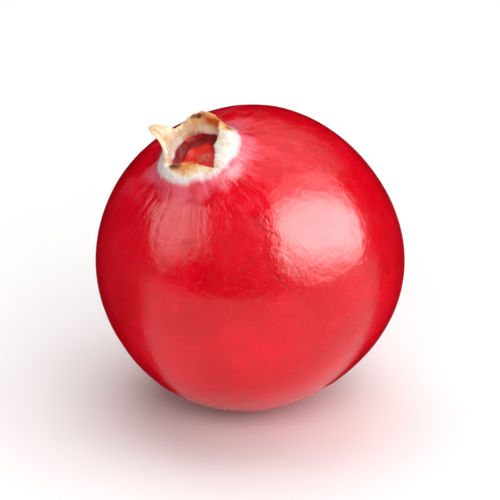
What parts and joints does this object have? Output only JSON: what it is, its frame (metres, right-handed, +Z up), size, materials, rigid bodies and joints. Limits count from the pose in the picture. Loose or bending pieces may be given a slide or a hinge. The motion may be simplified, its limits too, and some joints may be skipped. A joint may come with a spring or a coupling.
{
  "type": "cranberry",
  "caption": "Whole fresh cranberry: a nearly round glossy fruit with a small open crown of four dry calyx lobes around a shallow crater.",
  "frame": {"origin": "under the middle of the berry's bounding box, on the surface that the berry lies on", "axes": "+Z is up from the surface that the berry lies on. The berry's own axis, from the stalk's scar to the calyx, leans 27 degrees away from +Z towards -X and -Y."},
  "size_m": [0.018, 0.018, 0.0186],
  "materials": {
    "skin": "satin"
  },
  "bodies": {
    "root": {"cranberry": "skin"}
  },
  "joints": []
}
